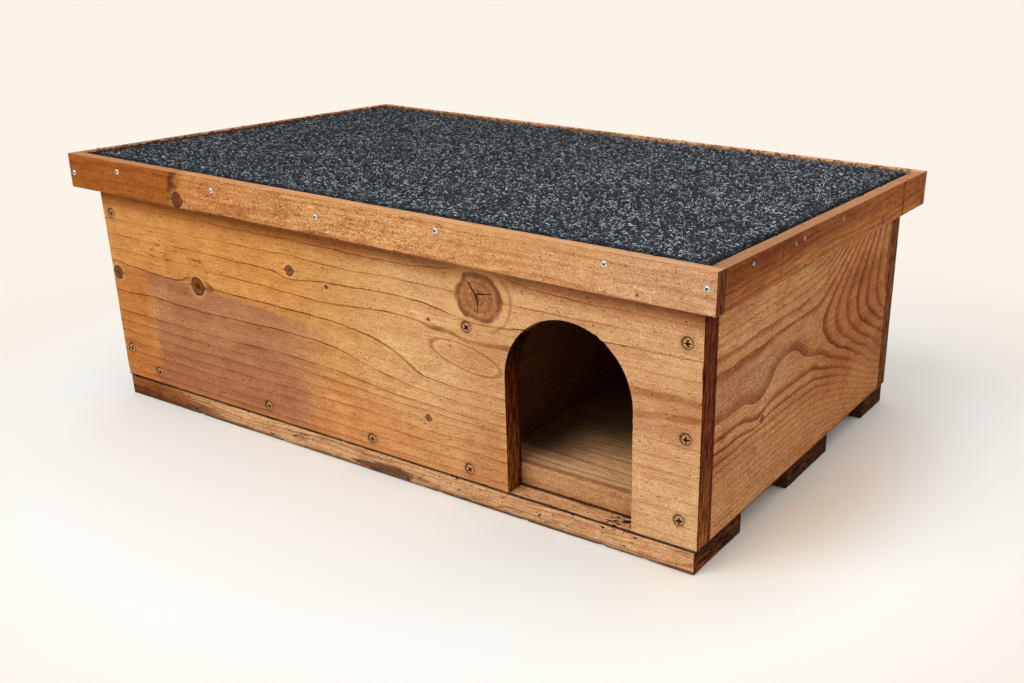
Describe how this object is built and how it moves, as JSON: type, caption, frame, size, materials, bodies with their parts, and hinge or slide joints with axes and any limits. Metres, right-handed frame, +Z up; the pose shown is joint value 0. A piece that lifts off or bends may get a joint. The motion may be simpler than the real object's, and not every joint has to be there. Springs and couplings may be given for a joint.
{
  "type": "hedgehog house",
  "caption": "Wooden shelter box on three runners, with an arched entrance, an inner baffle and a felted lift-off roof with an overhanging trim.",
  "frame": {"origin": "on the ground under the middle of the box", "axes": "+X along the front towards the end with the entrance, +Y from the front to the back, +Z up"},
  "size_m": [0.735, 0.4607, 0.2621],
  "materials": {
    "front_board": "honey brown planed pine, weathered, with knots and a reddish stain",
    "wall_boards": "pale brown planed pine with bold flame figure, dark end grain",
    "inner_boards": "unfinished pine, dull",
    "runners": "weathered brown softwood, worn and dented edges",
    "roof_trim": "red brown stained softwood, pale worn edges",
    "roof_deck": "plain exterior plywood",
    "roof_felt": "charcoal blue grey felt with light curled fibres",
    "wall_screws": "dull yellow passivated countersunk screws, tarnished",
    "trim_screws": "bright zinc countersunk screws"
  },
  "bodies": {
    "box": {"front_wall": "front_board", "back_wall": "wall_boards", "left_wall": "wall_boards", "right_wall": "wall_boards", "baffle": "inner_boards", "front_floor_board": "inner_boards", "back_floor_board": "inner_boards", "front_runner": "runners", "middle_runner": "runners", "back_runner": "runners"},
    "roof": {"roof_deck": "roof_deck", "roof_felt": "roof_felt", "front_trim": "roof_trim", "back_trim": "roof_trim", "left_trim": "roof_trim", "right_trim": "roof_trim"}
  },
  "joints": [
    {"name": "roof_lift", "type": "slide", "parent": "box", "child": "roof", "axis": [0, 0, 1], "range_m": [0, 0.25]}
  ]
}
